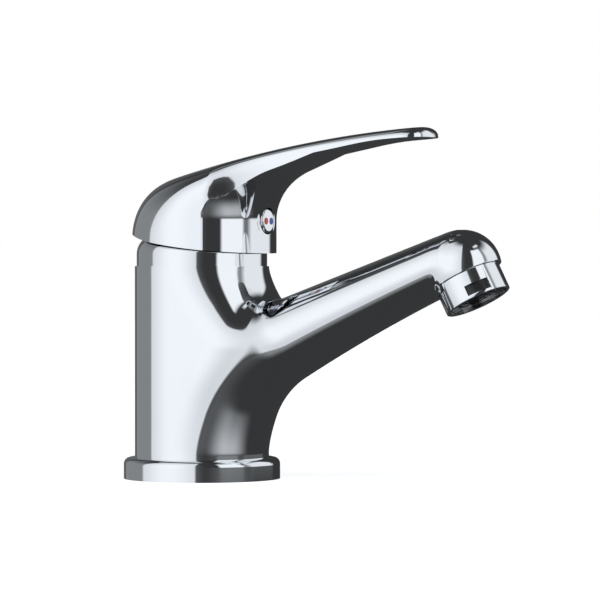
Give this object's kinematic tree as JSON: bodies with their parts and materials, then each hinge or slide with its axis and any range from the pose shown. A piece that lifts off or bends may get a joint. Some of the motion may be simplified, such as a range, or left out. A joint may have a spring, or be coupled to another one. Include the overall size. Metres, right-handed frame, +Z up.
{
  "type": "basin mixer faucet",
  "caption": "Single-lever basin mixer in bright chrome with a fixed rising spout, a screwed-in aerator and a lift-and-turn handle over a ceramic disc cartridge.",
  "frame": {"origin": "centre of the base ring's underside, on the body's axis, in the plane of the basin deck", "axes": "+Z up along the body's axis, +X out along the spout and the lever, +Y to the left seen from the user's side of the spout"},
  "size_m": [0.1557, 0.059, 0.1305],
  "materials": {
    "chrome": "bright polished plating",
    "brass": "machined",
    "rubber": "moulded black",
    "white_plastic": "moulded white acetal",
    "grey_plastic": "moulded grey, glass filled",
    "ceramic": "lapped alumina",
    "stainless": "plain stainless steel",
    "red": "gloss enamel",
    "blue": "gloss enamel"
  },
  "bodies": {
    "body": {"base_ring": "chrome", "base_gasket": "rubber", "faucet_body": "chrome", "trim_collar": "chrome", "cartridge_nut": "brass", "cartridge_housing": "grey_plastic", "cartridge_base": "white_plastic", "port_seals": "rubber", "fixed_disc": "ceramic", "aerator_housing": "chrome", "aerator_insert": "white_plastic", "aerator_seal": "rubber", "aerator_screen": "stainless"},
    "swivel": {"rotor": "grey_plastic"},
    "lever": {"handle": "chrome", "spindle": "brass", "lever_pin": "stainless", "handle_screw": "stainless", "indicator_plug": "chrome", "hot_mark": "red", "cold_mark": "blue"},
    "shuttle": {"moving_disc": "ceramic", "disc_carrier": "white_plastic"}
  },
  "joints": [
    {"name": "handle_swing", "type": "hinge", "parent": "body", "child": "swivel", "pos_m": [0, 0, 0.084], "axis": [0, 0, 1], "range_deg": [-50, 50]},
    {"name": "handle_lift", "type": "hinge", "parent": "swivel", "child": "lever", "pos_m": [0, 0, 0.084], "axis": [0, -1, 0], "range_deg": [0, 25]},
    {"name": "disc_slide", "type": "slide", "parent": "swivel", "child": "shuttle", "axis": [1, 0, 0], "range_m": [0, 0.00433]}
  ],
  "couplings": [
    {"joint": "disc_slide", "follows": "handle_lift", "m_per_rad": 0.00992}
  ]
}
